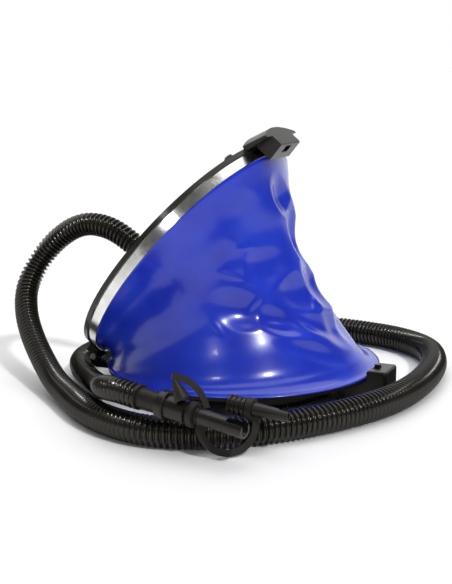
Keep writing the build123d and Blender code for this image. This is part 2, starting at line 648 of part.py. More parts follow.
# Hose socket with the outlet valve's chamber inside.
SOCKET_FLANGE_R = 20.0
SOCKET_FLANGE_T = 3.0
SOCKET_BODY_R = 13.0
SOCKET_BODY_TOP = 22.0
CHAMBER_R = 10.0
CHAMBER_TOP = 18.0
BORE_R = 6.2
with BuildPart() as hose_socket:
    with BuildSketch(SOCKET_PLANE):
        Circle(SOCKET_FLANGE_R)
        with PolarLocations(SOCKET_SCREW_CIRCLE_R, 3):
            Circle(SOCKET_SCREW_R + 0.1, mode=Mode.SUBTRACT)
    extrude(amount=SOCKET_FLANGE_T)
    with BuildSketch(SOCKET_PLANE):
        Circle(SOCKET_BODY_R)
    extrude(amount=SOCKET_BODY_TOP - WEB_TOP)
    with BuildSketch(SOCKET_PLANE):
        Circle(SPIGOT_R)
    extrude(amount=SPIGOT_END - WEB_TOP)
    with BuildSketch(SOCKET_PLANE):
        Circle(CHAMBER_R)
    extrude(amount=CHAMBER_TOP - WEB_TOP, mode=Mode.SUBTRACT)
    with BuildSketch(SOCKET_PLANE):
        Circle(BORE_R)
    extrude(amount=SPIGOT_END - WEB_TOP, mode=Mode.SUBTRACT)
save(hose_socket, "hose_socket")

with BuildPart() as socket_screws:
    with BuildSketch(SOCKET_PLANE.offset(-WEB_T)):
        with PolarLocations(SOCKET_SCREW_CIRCLE_R, 3):
            Circle(SOCKET_SCREW_R)
    extrude(amount=WEB_T + SOCKET_FLANGE_T)
    with BuildSketch(SOCKET_PLANE.offset(SOCKET_FLANGE_T)):
        with PolarLocations(SOCKET_SCREW_CIRCLE_R, 3):
            Circle(2.6)
    extrude(amount=1.6)
save(socket_screws, "socket_screws")

OUTLET_DISC_R = 8.5
OUTLET_SPRING_R = 7.4
with BuildPart() as outlet_disc:
    with BuildSketch(SOCKET_PLANE.offset(0.05)):
        Circle(OUTLET_DISC_R)
    extrude(amount=DISC_T)
save(outlet_disc, "outlet_disc")
save(coil_spring(SOCKET_PLANE.offset(DISC_T + 0.1), OUTLET_SPRING_R, 0.3,
                 CHAMBER_TOP - WEB_TOP - DISC_T - 0.2, 2.5), "outlet_spring")

CUFF_R = 12.2
with BuildPart() as hose_pump_cuff:
    with BuildSketch(SOCKET_PLANE.offset(SOCKET_BODY_TOP - WEB_TOP + 0.2)):
        ring(CUFF_R, SPIGOT_R + 0.05)
    extrude(amount=SPIGOT_END - SOCKET_BODY_TOP - 0.2)
save(hose_pump_cuff, "hose_pump_cuff")

# --- Hose and nozzles --------------------------------------------------------------------------

# The hose leaves the socket along its axis, arches over and down to the floor, runs round the
# front, the far side and the back of the pump, and comes forward again to the nozzle.
HOSE_ARC_ROUTE = (
    (-98.09, 0, 112.18), (-115.0, 0, 126.22), (-143, 3, 140), (-175, 7, 141), (-204, 8, 125),
    (-224, 2, 101), (-228, -16, 77), (-214, -38, 56), (-190, -62, 39), (-163, -85, 25),
    (-135, -109, 15), (-106, -132, 12.5), (-89.5, -146.5, 12.5),
)
HOSE_FLOOR_ROUTE = (
    (-89.5, -146.5, 12.5), (-73, -161, 12.5), (-36, -183, 12.5), (4, -193, 12.5),
    (45, -183, 12.5), (81, -157, 12.5), (111, -122, 12.5), (136, -82, 12.5),
    (154, -38, 12.5), (161, 8, 12.5), (161, 55, 12.5), (154, 102, 12.5), (136, 147, 12.5),
    (99, 177, 12.5), (54, 191, 12.5), (8, 196, 12.5), (-38, 190, 12.5), (-82, 173, 12.5),
    (-119, 145, 12.5), (-146, 108, 12.5), (-161, 64, 12.5), (-164.5, 43, 12.5),
)
HOSE_END_ROUTE = (
    (-164.5, 43, 12.5), (-168, 22, 12.5), (-166, -20, 12), (-142, -55, 11.5), (-114, -83, 13),
    (-92, -107, 17), (-73, -130, 23), (-57, -155, 31), (-40, -177, 38.5),
    (-21.26, -189.46, 41.62), (-1.6, -192.5, 39.5),
)


def arc_radii(route):
    """Largest radius at each corner of a route: 0.45 of its shorter run."""
    points = [Vector(*point) for point in route]
    radii = []
    for before, corner, after in zip(points, points[1:], points[2:]):
        turn = (corner - before).get_angle(after - corner)
        shorter = min((corner - before).length, (after - corner).length)
        radii.append(0.45 * shorter / tan(radians(turn) / 2))
    return radii


def hose_tube(route, outer_r, name):
    """Hollow tube of straight runs and tangent arcs; prints its arcs' radii and its length."""
    radii = arc_radii(route)
    with BuildPart() as tube:
        with BuildLine() as path:
            FilletPolyline(*route, radius=radii)
        with BuildSketch(Plane(origin=path.line @ 0, z_dir=path.line % 0)):
            ring(outer_r, outer_r - HOSE_WALL)
        sweep()
    length = sum(edge.length for edge in path.line.edges())
    section = pi * (outer_r**2 - (outer_r - HOSE_WALL) ** 2)
    print(name, "radii", [round(radius) for radius in radii], "length", round(length),
          "volume ratio", round(tube.part.volume / (section * length), 4))
    return tube


save(hose_tube(HOSE_ARC_ROUTE, HOSE_ARC_R, "hose_arc"), "hose_arc")
save(hose_tube(HOSE_FLOOR_ROUTE, HOSE_R, "hose_floor"), "hose_floor")
save(hose_tube(HOSE_END_ROUTE, HOSE_END_R, "hose_end"), "hose_end")


def nozzle_plane(distance):
    """Plane across the nozzle's axis at a distance from the hose's end."""
    return Plane(origin=NOZZLE_START + NOZZLE_DIRECTION * distance, x_dir=(0.152, 0.983, 0),
                 z_dir=NOZZLE_DIRECTION)


# Places along the nozzle's axis, from the hose's end.
COLLAR_END = 2.5
CUFF_END = 22.7
ADAPTER_FLANGE_END = 30.1
ADAPTER_BODY_END = 47.8
NECK_END = 58.8
TIP_END = 98.8
NECK_R = 7.0
NOZZLE_BORE_R = 4.2
with BuildPart() as hose_end_cuff:
    with BuildSketch(nozzle_plane(0)):
        ring(10.0, 5.5)
    extrude(amount=COLLAR_END)
    with BuildSketch(nozzle_plane(0)):
        ring(8.3, 5.5)
    extrude(amount=CUFF_END)
save(hose_end_cuff, "hose_end_cuff")

with BuildPart() as nozzle_adapter:
    with BuildSketch(nozzle_plane(CUFF_END)):
        Circle(12)
    extrude(amount=ADAPTER_FLANGE_END - CUFF_END)
    fillet(edges().filter_by(GeomType.CIRCLE), 1)
    with BuildSketch(nozzle_plane(ADAPTER_FLANGE_END - 0.5)):
        Circle(9.7)
    extrude(amount=ADAPTER_BODY_END - ADAPTER_FLANGE_END + 0.5, taper=2)
    with BuildSketch(nozzle_plane(ADAPTER_BODY_END)):
        Circle(NECK_R)
    extrude(amount=NECK_END - ADAPTER_BODY_END)
    with BuildSketch(nozzle_plane(CUFF_END)):
        Circle(NOZZLE_BORE_R)
    extrude(amount=NECK_END - CUFF_END, mode=Mode.SUBTRACT)
save(nozzle_adapter, "nozzle_adapter")

SLOT_LENGTH = 15.0
with BuildPart() as main_nozzle:
    with BuildSketch(nozzle_plane(NECK_END)):
        Circle(6.2)
    extrude(amount=TIP_END - NECK_END)
    with BuildSketch(nozzle_plane(NECK_END)):
        Circle(NOZZLE_BORE_R)
    extrude(amount=TIP_END - NECK_END, mode=Mode.SUBTRACT)
    with BuildSketch(nozzle_plane(TIP_END)):
        with Locations((0, 6.2)):
            Rectangle(2 * NOZZLE_BORE_R, 8)
    extrude(amount=-SLOT_LENGTH, mode=Mode.SUBTRACT)
save(main_nozzle, "main_nozzle")

# Second nozzle, held by the strap beside the first.
SECOND_START = Vector(66, -171, 36)
SECOND_END = Vector(114, -169, 31)
SECOND_DIRECTION = (SECOND_END - SECOND_START).normalized()
SECOND_BASE_LENGTH = 14.0
SECOND_NECK_R = 5.8
RING_B_START = 15.0
RING_LENGTH = 5.0


def second_plane(distance):
    """Plane across the second nozzle's axis at a distance from its base."""
    return Plane(origin=SECOND_START + SECOND_DIRECTION * distance, x_dir=(0, 1, 0),
                 z_dir=SECOND_DIRECTION)


with BuildPart() as second_nozzle:
    with BuildSketch(second_plane(0)):
        Circle(6.4)
    extrude(amount=SECOND_BASE_LENGTH)
    for rib_start in (0, 4, 8, 12):
        with BuildSketch(second_plane(rib_start)):
            Circle(7.6)
        extrude(amount=2)
    with BuildSketch(second_plane(SECOND_BASE_LENGTH)):
        Circle(SECOND_NECK_R)
    extrude(amount=(SECOND_END - SECOND_START).length - SECOND_BASE_LENGTH, taper=3)
    with BuildSketch(second_plane(0)):
        Circle(2.6)
    extrude(amount=(SECOND_END - SECOND_START).length, mode=Mode.SUBTRACT)
    with BuildSketch(second_plane((SECOND_END - SECOND_START).length)):
        Rectangle(2, 12)
    extrude(amount=-8, mode=Mode.SUBTRACT)
save(second_nozzle, "second_nozzle")

# Rubber strap: two rings joined by a hanging loop, and an arm that holds the plug.
STRAP_ORIGIN = Vector(51.8, -200.7, 33.8)
STRAP = Plane(origin=STRAP_ORIGIN, x_dir=(1, 1, 0), z_dir=(0.681, -0.681, 0.269))
STRAP_T = 1.8
LOOP_CENTRE = (24.5, -8.8)
LOOP_R = (25.5, 20.0)
PLUG_BASE = (-9.0, 13.0)
PLUG_TOP = (-13.9, 27.4)
PLUG_R = (6.0, 2.3)
PLUG_RIM = 1.6
RING_A_START = 51.0
with BuildPart() as nozzle_strap:
    with BuildSketch(STRAP.offset(-STRAP_T / 2)):
        with Locations(LOOP_CENTRE):
            ring(LOOP_R[0], LOOP_R[1])
        Polygon((-12, 3), LOOP_CENTRE, (62, 9), (62, 60), (-12, 60), align=None,
                mode=Mode.SUBTRACT)
        with BuildLine():
            ThreePointArc((-15.7, 30.9), (2.6, 20.2), (9.0, 4.0))
        trace(line_width=5)
    extrude(amount=STRAP_T)
    with BuildSketch(nozzle_plane(RING_A_START)):
        Circle(10)
    extrude(amount=RING_LENGTH)
    with BuildSketch(second_plane(RING_B_START)):
        Circle(SECOND_NECK_R + 2.6)
    extrude(amount=RING_LENGTH)
    with BuildSketch(nozzle_plane(CUFF_END)):
        Circle(NECK_R + 0.05)
    extrude(amount=TIP_END - CUFF_END, mode=Mode.SUBTRACT)
    with BuildSketch(second_plane(SECOND_BASE_LENGTH)):
        Circle(SECOND_NECK_R + 0.05)
    extrude(amount=40, mode=Mode.SUBTRACT)
    with BuildSketch(second_plane(0)):
        Circle(7.7)
    extrude(amount=SECOND_BASE_LENGTH, mode=Mode.SUBTRACT)
save(nozzle_strap, "nozzle_strap")

plug_base = STRAP.from_local_coords(Vector(*PLUG_BASE, 0))
plug_top = STRAP.from_local_coords(Vector(*PLUG_TOP, 0))
plug_axis = (plug_top - plug_base).normalized()
plug_height = (plug_top - plug_base).length
with BuildPart() as strap_plug:
    with BuildSketch(Plane(origin=plug_base, x_dir=STRAP.z_dir,
                           z_dir=STRAP.z_dir.cross(plug_axis))):
        Polygon((0, 0), (PLUG_R[0], 0), (PLUG_R[0], PLUG_RIM), (PLUG_R[1], plug_height),
                (0, plug_height), align=None)
    revolve(axis=Axis(plug_base, plug_axis))
save(strap_plug, "strap_plug")
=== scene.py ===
"""Looks of the bellows foot pump: buckled vinyl bellows, corrugated hose, band and nozzles."""
import json
from math import cos, pi, radians, sin

import bpy
import numpy as np
from mathutils import Matrix, Vector


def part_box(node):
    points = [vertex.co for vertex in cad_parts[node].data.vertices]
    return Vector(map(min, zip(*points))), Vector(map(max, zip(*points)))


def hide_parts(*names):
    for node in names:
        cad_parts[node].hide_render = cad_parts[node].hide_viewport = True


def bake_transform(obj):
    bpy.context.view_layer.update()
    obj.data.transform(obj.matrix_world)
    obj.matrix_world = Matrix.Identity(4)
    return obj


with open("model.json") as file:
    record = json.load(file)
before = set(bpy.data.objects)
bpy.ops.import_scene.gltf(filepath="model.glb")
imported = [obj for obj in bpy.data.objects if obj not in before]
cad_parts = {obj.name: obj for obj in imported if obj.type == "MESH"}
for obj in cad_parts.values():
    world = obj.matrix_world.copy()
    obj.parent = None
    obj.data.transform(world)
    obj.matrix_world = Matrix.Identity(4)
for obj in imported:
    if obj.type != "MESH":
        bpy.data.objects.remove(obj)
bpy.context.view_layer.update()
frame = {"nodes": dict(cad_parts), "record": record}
nodes = frame["nodes"]

# --- Places that come from the frame -----------------------------------------------------------

# The base and the tread plate lie in planes that meet in the wedge line, which runs along Y.
WEDGE = Vector((-0.1294, 0, 0.0212))
OPEN_ANGLE = radians(50.3)
PLATE_X = Vector((cos(OPEN_ANGLE), 0, sin(OPEN_ANGLE)))
PLATE_N = Vector((-sin(OPEN_ANGLE), 0, cos(OPEN_ANGLE)))
TOP_CENTRE = 0.1259
BASE_TOP = 0.0226


def on_plate(along, across, height):
    """Point at a place on the tread plate: up the plate, across it, and out from it."""
    return WEDGE + PLATE_X * along + Vector((0, across, 0)) + PLATE_N * height


# --- Camera ------------------------------------------------------------------------------------

TARGET = Vector((-0.0171, 0, 0.0855))
AZIMUTH = radians(25.36)
ELEVATION = radians(11.26)
DISTANCE = 1.0498
ROLL = radians(-0.54)
LENS = 70.19


def add_camera():
    """Camera at the photograph's viewing angle."""
    data = bpy.data.cameras.new("camera")
    data.lens = LENS
    data.sensor_width = 36
    camera = bpy.data.objects.new("camera", data)
    bpy.context.scene.collection.objects.link(camera)
    away = Vector((sin(AZIMUTH) * cos(ELEVATION), -cos(AZIMUTH) * cos(ELEVATION),
                   sin(ELEVATION)))
    camera.location = TARGET + away * DISTANCE
    level = (-away).to_track_quat("-Z", "Y").to_matrix().to_4x4()
    camera.rotation_euler = (level @ Matrix.Rotation(ROLL, 4, "Z")).to_euler()
    bpy.context.scene.camera = camera


add_camera()

# --- Materials ---------------------------------------------------------------------------------


class Nodes:
    """Short way to write a material's node tree."""

    def __init__(self, name):
        self.material = bpy.data.materials.new(name)
        self.material.use_nodes = True
        self.tree = self.material.node_tree
        self.shader = self.tree.nodes["Principled BSDF"]
        self.place = self.add("ShaderNodeTexCoord").outputs["Object"]

    def add(self, kind, **values):
        """A node with its inputs set from values or linked to sockets."""
        node = self.tree.nodes.new(kind)
        for key, value in values.items():
            self.put(node, key, value)
        return node

    def put(self, node, key, value):
        """Set one input, or one property, of a node."""
        name = key.replace("_", " ")
        if name in node.inputs:
            if isinstance(value, bpy.types.NodeSocket):
                self.tree.links.new(value, node.inputs[name])
            else:
                node.inputs[name].default_value = value
        else:
            setattr(node, key, value)

    def noise(self, scale, detail=3, roughness=0.5, place=None):
        """Noise texture's factor."""
        node = self.add("ShaderNodeTexNoise", Vector=place or self.place, Scale=scale,
                        Detail=detail, Roughness=roughness)
        return node.outputs["Fac"]

    def ramp(self, factor, stops):
        """Colour ramp through (position, colour) stops."""
        node = self.add("ShaderNodeValToRGB", Fac=factor)
        elements = node.color_ramp.elements
        while len(elements) < len(stops):
            elements.new(0.5)
        for element, (position, colour) in zip(elements, stops):
            element.position = position
            element.color = (*colour, 1)
        return node.outputs["Color"]

    def spread(self, factor, low, high):
        """Factor mapped from 0..1 to low..high."""
        node = self.add("ShaderNodeMapRange", Value=factor)
        node.inputs["To Min"].default_value = low
        node.inputs["To Max"].default_value = high
        return node.outputs["Result"]

    def bump(self, height, strength, distance, normal=None):
        """Bump that follows a height."""
        node = self.add("ShaderNodeBump", Height=height, Strength=strength, Distance=distance)
        if normal is not None:
            self.put(node, "Normal", normal)
        return node.outputs["Normal"]

    def stretched(self, x, y, z):
        """Object coordinates scaled along each axis."""
        node = self.add("ShaderNodeMapping", Vector=self.place)
        node.inputs["Scale"].default_value = (x, y, z)
        return node.outputs["Vector"]

    def finish(self, **values):
        """Set the shader's inputs and return the material."""
        for key, value in values.items():
            self.put(self.shader, key, value)
        return self.material


def make_vinyl():
    """Soft royal blue vinyl: glossy, a little cloudy, with a faint orange-peel surface."""
    n = Nodes("blue_vinyl")
    cloud = n.noise(22, 4, 0.55)
    colour = n.ramp(cloud, [(0.3, (0.008, 0.022, 0.42)), (0.7, (0.014, 0.045, 0.56))])
    peel = n.noise(260, 3, 0.5)
    soft = n.noise(30, 1, 0.4)
    normal = n.bump(soft, 0.06, 0.002, n.bump(peel, 0.03, 0.0004))
    return n.finish(Base_Color=colour, Roughness=n.spread(cloud, 0.2, 0.3), Normal=normal,
                    Specular_IOR_Level=0.45, Coat_Weight=0.3, Coat_Roughness=0.07,
                    Subsurface_Weight=0.06, Subsurface_Scale=0.004,
                    Subsurface_Radius=(0.2, 0.3, 1.0))


def make_black(name, colours, rough, grain, gloss=0.0, relief=0.18):
    """Black plastic or rubber with a moulded grain and worn, lighter patches."""
    n = Nodes(name)
    wear = n.noise(28, 5, 0.6)
    fine = n.noise(grain, 3, 0.6)
    colour = n.ramp(wear, [(0.3, colours[0]), (0.75, colours[1])])
    return n.finish(Base_Color=colour, Roughness=n.spread(wear, rough - 0.05, rough + 0.08),
                    Normal=n.bump(fine, relief, 0.0003), Coat_Weight=gloss, Coat_Roughness=0.12,
                    Specular_IOR_Level=0.32, Specular_Tint=(1.0, 0.93, 0.84, 1))


def make_band():
    """Bright bare steel strip, a little mottled and scratched along its length."""
    n = Nodes("band_steel")
    patches = n.noise(30, 5, 0.62)
    scratches = n.noise(90, 4, 0.7, n.stretched(1, 12, 1))
    colour = n.ramp(patches, [(0.3, (0.5, 0.5, 0.48)), (0.62, (0.86, 0.86, 0.84))])
    normal = n.bump(scratches, 0.1, 0.0004, n.bump(patches, 0.25, 0.0015))
    return n.finish(Base_Color=colour, Metallic=1.0, Roughness=n.spread(patches, 0.1, 0.24),
                    Normal=normal)


def make_steel(name, colour, rough):
    """Plated or drawn steel with a faint cloud in its polish."""
    n = Nodes(name)
    cloud = n.noise(140, 3, 0.5)
    dark = tuple(0.7 * value for value in colour)
    return n.finish(Base_Color=n.ramp(cloud, [(0.35, dark), (0.7, colour)]), Metallic=1.0,
                    Roughness=n.spread(cloud, rough - 0.06, rough + 0.08),
                    Normal=n.bump(n.noise(900, 2), 0.05, 0.0002))


VINYL = make_vinyl()
BLACK = make_black("black_plastic", ((0.005, 0.005, 0.005), (0.013, 0.012, 0.010)), 0.34, 1500,
                   0.15)
RUBBER = make_black("black_rubber", ((0.006, 0.006, 0.005), (0.014, 0.013, 0.012)), 0.5, 1100)
HOSE = make_black("hose_plastic", ((0.005, 0.005, 0.004), (0.013, 0.012, 0.008)), 0.24, 900,
                  0.35, 0.05)
VALVE = make_black("valve_rubber", ((0.03, 0.02, 0.018), (0.06, 0.045, 0.04)), 0.6, 1300)
BAND = make_band()
PLATED = make_steel("plated_steel", (0.6, 0.6, 0.58), 0.28)
SPRING = make_steel("spring_steel", (0.42, 0.42, 0.42), 0.34)

SLOT_MATERIALS = {
    "black_plastic": BLACK, "rubber": RUBBER, "hose_plastic": HOSE, "valve_rubber": VALVE,
    "steel_band": BAND, "plated_steel": PLATED, "spring_steel": SPRING, "blue_vinyl": VINYL,
}


def paint_frame():
    """Give every CAD node the material of its record slot."""
    for part in frame["record"]["subparts"]:
        piece = nodes[part["node"]]
        material = SLOT_MATERIALS[part["material_slot"]]
        for place in piece.material_slots:
            place.material = material
        if not piece.material_slots:
            piece.data.materials.append(material)


paint_frame()


def round_edges(names, width):
    """Small rounded edges on moulded pieces."""
    for name in names:
        bevel = nodes[name].modifiers.new("rounded_edges", "BEVEL")
        bevel.width = width
        bevel.segments = 3
        bevel.limit_method = "ANGLE"
        bevel.angle_limit = radians(35)


LARGE_EDGE = 0.0012
SMALL_EDGE = 0.0006
round_edges(["foot_pad", "hook_block", "catch_block", "front_foot"], LARGE_EDGE)
round_edges(["latch_button", "foot_tread", "hose_socket", "band_lock"], SMALL_EDGE)

# --- Mesh helpers ------------------------------------------------------------------------------


def add_mesh(name, points, faces, material):
    """New object from points and faces, smooth shaded."""
    mesh = bpy.data.meshes.new(name)
    mesh.from_pydata([tuple(point) for point in points], [], faces)
    mesh.validate()
    mesh.update()
    for polygon in mesh.polygons:
        polygon.use_smooth = True
    piece = bpy.data.objects.new(name, mesh)
    bpy.context.scene.collection.objects.link(piece)
    piece.data.materials.append(material)
    return piece


def grid_faces(rows, columns, close_rows=False):
    """Quads of a tube grid: rows of points, each row a closed ring of columns points."""
    faces = []
    for row in range(rows if close_rows else rows - 1):
        below = (row + 1) % rows
        for column in range(columns):
            right = (column + 1) % columns
            faces.append((row * columns + column, row * columns + right,
                          below * columns + right, below * columns + column))
    return faces


def set_blend(piece):
    """Bake a piece's placement into its mesh; nothing is blended between bodies."""
    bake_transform(piece)


# --- Hose --------------------------------------------------------------------------------------

# The route's points, in metres: the arch, the floor run and the end that rises to the nozzle.
HOSE_ROUTE = [
    (-0.09809, 0, 0.11218), (-0.115, 0, 0.12622), (-0.143, 0.003, 0.140), (-0.175, 0.007, 0.141),
    (-0.204, 0.008, 0.125), (-0.224, 0.002, 0.101), (-0.228, -0.016, 0.077),
    (-0.214, -0.038, 0.056), (-0.190, -0.062, 0.039), (-0.163, -0.085, 0.025),
    (-0.135, -0.109, 0.015), (-0.106, -0.132, 0.0125), (-0.073, -0.161, 0.0125),
    (-0.036, -0.183, 0.0125), (0.004, -0.193, 0.0125), (0.045, -0.183, 0.0125),
    (0.081, -0.157, 0.0125), (0.111, -0.122, 0.0125), (0.136, -0.082, 0.0125),
    (0.154, -0.038, 0.0125), (0.161, 0.008, 0.0125), (0.161, 0.055, 0.0125),
    (0.154, 0.102, 0.0125), (0.136, 0.147, 0.0125), (0.099, 0.177, 0.0125),
    (0.054, 0.191, 0.0125), (0.008, 0.196, 0.0125), (-0.038, 0.190, 0.0125),
    (-0.082, 0.173, 0.0125), (-0.119, 0.145, 0.0125), (-0.146, 0.108, 0.0125),
    (-0.161, 0.064, 0.0125), (-0.168, 0.022, 0.0125), (-0.166, -0.020, 0.012),
    (-0.142, -0.055, 0.0115), (-0.114, -0.083, 0.013), (-0.092, -0.107, 0.017),
    (-0.073, -0.130, 0.023), (-0.057, -0.155, 0.031), (-0.040, -0.177, 0.0385),
    (-0.02126, -0.18946, 0.04162), (-0.0016, -0.1925, 0.0395),
]


def route_line(points, resolution):
    """Points along the NURBS spline whose control points are the route's."""
    curve = bpy.data.curves.new("route", "CURVE")
    curve.dimensions = "3D"
    curve.resolution_u = resolution
    spline = curve.splines.new("NURBS")
    spline.points.add(len(points) - 1)
    for control, point in zip(spline.points, points):
        control.co = (*point, 1)
    spline.order_u = 3
    spline.use_endpoint_u = True
    holder = bpy.data.objects.new("route", curve)
    bpy.context.scene.collection.objects.link(holder)
    bpy.context.view_layer.update()
    mesh = bpy.data.meshes.new_from_object(
        holder.evaluated_get(bpy.context.evaluated_depsgraph_get()))
    line = np.array([vertex.co[:] for vertex in mesh.vertices])
    bpy.data.objects.remove(holder)
    bpy.data.curves.remove(curve)
    bpy.data.meshes.remove(mesh)
    return line


def along(line, places):
    """Positions and directions at distances along a line of points."""
    steps = np.linalg.norm(np.diff(line, axis=0), axis=1)
    lengths = np.concatenate([[0], np.cumsum(steps)])
    spots = np.stack([np.interp(places, lengths, line[:, axis]) for axis in range(3)], axis=1)
    ahead = np.stack([np.interp(places + 0.002, lengths, line[:, axis]) for axis in range(3)],
                     axis=1)
    behind = np.stack([np.interp(places - 0.002, lengths, line[:, axis]) for axis in range(3)],
                      axis=1)
    directions = ahead - behind
    return spots, directions / np.linalg.norm(directions, axis=1)[:, None]


def carried_frames(directions, first_up):
    """Two axes across each direction, carried along without twist."""
    ups = []
    up = np.array(first_up, dtype=float)
    for direction in directions:
        up = up - direction * np.dot(up, direction)
        up = up / np.linalg.norm(up)
        ups.append(up.copy())
    ups = np.array(ups)
    return ups, np.cross(directions, ups)


RING_PITCH = 0.0046
RING_DEPTH = 0.0028
RING_STEPS = 8
RING_POWER = 0.85
HOSE_SIDES = 40
HOSE_BORE = 0.0062
# Outside radius of the hose on the arch, and how much it grows for the floor run and shrinks
# again for the end.
ARCH_R = 0.0112
FLOOR_GAIN = 0.0012
END_LOSS = 0.0022
# How far along the hose the arch reaches the floor, and where the slim end starts.
ARCH_LENGTH = 0.375
ARCH_CHANGE = 0.1
END_LENGTH = 0.36
END_CHANGE = 0.16


def smooth_step(value):
    """0 below 0, 1 above 1 and smooth between."""
    t = np.clip(value, 0, 1)
    return t * t * (3 - 2 * t)


def ring_profile(phase):
    """Height of the corrugation over its pitch: a round ridge and a narrow groove."""
    wave = 0.5 + 0.5 * np.cos(2 * pi * phase)
    return wave ** RING_POWER


def make_hose():
    """Corrugated hose on its route, slimmer at both ends, with a plain mouth at each end."""
    line = route_line(HOSE_ROUTE, 24)
    length = float(np.linalg.norm(np.diff(line, axis=0), axis=1).sum())
    rings = round(length / RING_PITCH)
    places = np.linspace(0, length, rings * RING_STEPS + 1)
    spots, directions = along(line, places)
    ups, sides = carried_frames(directions, (0, 1, 0))
    slim_start = smooth_step((places - ARCH_LENGTH + ARCH_CHANGE) / (2 * ARCH_CHANGE))
    slim_end = smooth_step((places - (length - END_LENGTH)) / END_CHANGE)
    outer = ARCH_R + FLOOR_GAIN * slim_start - END_LOSS * slim_end
    phase = places / length * rings
    radius = outer - RING_DEPTH * (1 - ring_profile(phase))
    angles = np.linspace(0, 2 * pi, HOSE_SIDES, endpoint=False)
    ring = [np.cos(angles), np.sin(angles)]
    spokes = (ups[:, None, :] * ring[0][None, :, None]
              + sides[:, None, :] * ring[1][None, :, None])
    wall = spots[:, None, :] + radius[:, None, None] * spokes
    rows = [wall.reshape(-1, 3)]
    rows.insert(0, spots[0] + HOSE_BORE * spokes[0])
    rows.append(spots[-1] + HOSE_BORE * spokes[-1])
    points = np.concatenate(rows)
    hose = add_mesh("corrugated_hose", points, grid_faces(len(places) + 2, HOSE_SIDES), HOSE)
    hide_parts("hose_arc", "hose_floor", "hose_end")
    share = 1 - smooth_step(places / ARCH_LENGTH)
    share = np.concatenate([[share[0]], share, [0]])
    set_blend(hose)
    return hose, line, length


hose, hose_line, hose_length = make_hose()

# --- Bellows -----------------------------------------------------------------------------------

# Sections of the bellows: share of the opening angle, nearest and farthest distance from the
# wedge line.
SECTIONS = np.array([
    (0.0, 0.0044, 0.2540), (0.03, 0.0046, 0.2410), (0.06, 0.0048, 0.2345), (0.12, 0.0050, 0.2285),
    (0.2, 0.0056, 0.2240), (0.3, 0.0062, 0.2165), (0.4, 0.0066, 0.2115), (0.6, 0.0066, 0.2120),
    (0.7, 0.0062, 0.2160), (0.8, 0.0058, 0.2255), (0.9, 0.0050, 0.2325), (0.95, 0.0042, 0.2400),
    (1.0, 0.0034, 0.2484),
])

# Dents of the front and sides: share of the opening angle, angle in degrees round the section
# from its far end, half height, half width, lean in degrees, and depth. Sizes are in metres.
DENTS = (
    (0.76, -26, 0.040, 0.034, 15, 0.0055), (0.60, -25, 0.028, 0.032, -30, 0.0075),
    (0.84, 2, 0.026, 0.022, 30, 0.0070), (0.45, -50, 0.020, 0.030, -36, 0.0050),
    (0.42, -15, 0.024, 0.036, -35, 0.0070), (0.32, -33, 0.014, 0.036, -38, 0.0045),
    (0.26, -12, 0.015, 0.046, -36, 0.0060), (0.15, -24, 0.011, 0.042, -30, 0.0035),
    (0.66, 10, 0.044, 0.026, 10, 0.0100), (0.44, 8, 0.034, 0.030, -25, 0.0080),
    (0.20, 2, 0.022, 0.034, -20, 0.0065), (0.70, -42, 0.020, 0.018, 40, 0.0020),
    (0.62, 30, 0.046, 0.046, 15, 0.0110), (0.38, 32, 0.034, 0.046, 20, 0.0100),
    (0.82, 36, 0.036, 0.046, -15, 0.0090), (0.20, 20, 0.024, 0.042, 15, 0.0080),
    (0.52, 56, 0.040, 0.044, 30, 0.0080), (0.26, 52, 0.028, 0.046, 5, 0.0075),
    (0.44, 78, 0.030, 0.038, 20, 0.0050), (0.74, 58, 0.034, 0.038, -10, 0.0055),
)

# Short raised creases, in the same terms.
CREASES = (
    (0.635, -47, 0.0045, 0.018, -38, 0.0012), (0.445, -42, 0.004, 0.012, 30, 0.0010),
    (0.310, -34, 0.0045, 0.016, -30, 0.0012), (0.390, -63, 0.004, 0.012, -70, 0.0009),
    (0.350, -4, 0.004, 0.012, 45, 0.0010), (0.345, -2, 0.004, 0.012, -45, 0.0010),
    (0.720, -35, 0.004, 0.015, -10, 0.0009), (0.560, 24, 0.004, 0.018, 30, 0.0012),
    (0.400, 48, 0.004, 0.016, -25, 0.0011), (0.300, 28, 0.004, 0.016, 20, 0.0011),
)
SOFTNESS = 0.05
WALL_T = 0.0012
BELLOWS_ROWS = 150
BELLOWS_SIDES = 420
LOWEST_SHARE = 0.006
HIGHEST_SHARE = 0.995
# The lip and the flange lie on the base with this much air under them.
LIP_GAP = 0.00005
LIP_ROUND = (0.0003, 0.0006)
SLEEVE_START = 0.0006
# How sharply neighbouring dents meet: a higher power gives a sharper ridge.
RIDGE_POWER = 4
SLEEVE_R = 0.1225
SLEEVE_TOP = 0.009
LIP_R = 0.1249
FLANGE_R = 0.106


def softened(share, column):
    """A column of the sections at shares of the opening angle, with its corners rounded."""
    offsets = np.linspace(-SOFTNESS, SOFTNESS, 9)
    width = np.minimum(np.minimum(share, 1 - share) / SOFTNESS, 1)
    total = sum(np.interp(share + offset * width, SECTIONS[:, 0], SECTIONS[:, column])
                for offset in offsets)
    return total / len(offsets)


def wall_point(share, angle):
    """Points of the smooth bellows at shares of the opening angle and angles round it."""
    near = softened(share, 1)
    far = softened(share, 2)
    distance = (near + far) / 2 + (far - near) / 2 * np.cos(angle)
    lean = share * OPEN_ANGLE
    return np.stack([WEDGE.x + distance * np.cos(lean), (far - near) / 2 * np.sin(angle),
                     WEDGE.z + distance * np.sin(lean)], axis=-1)


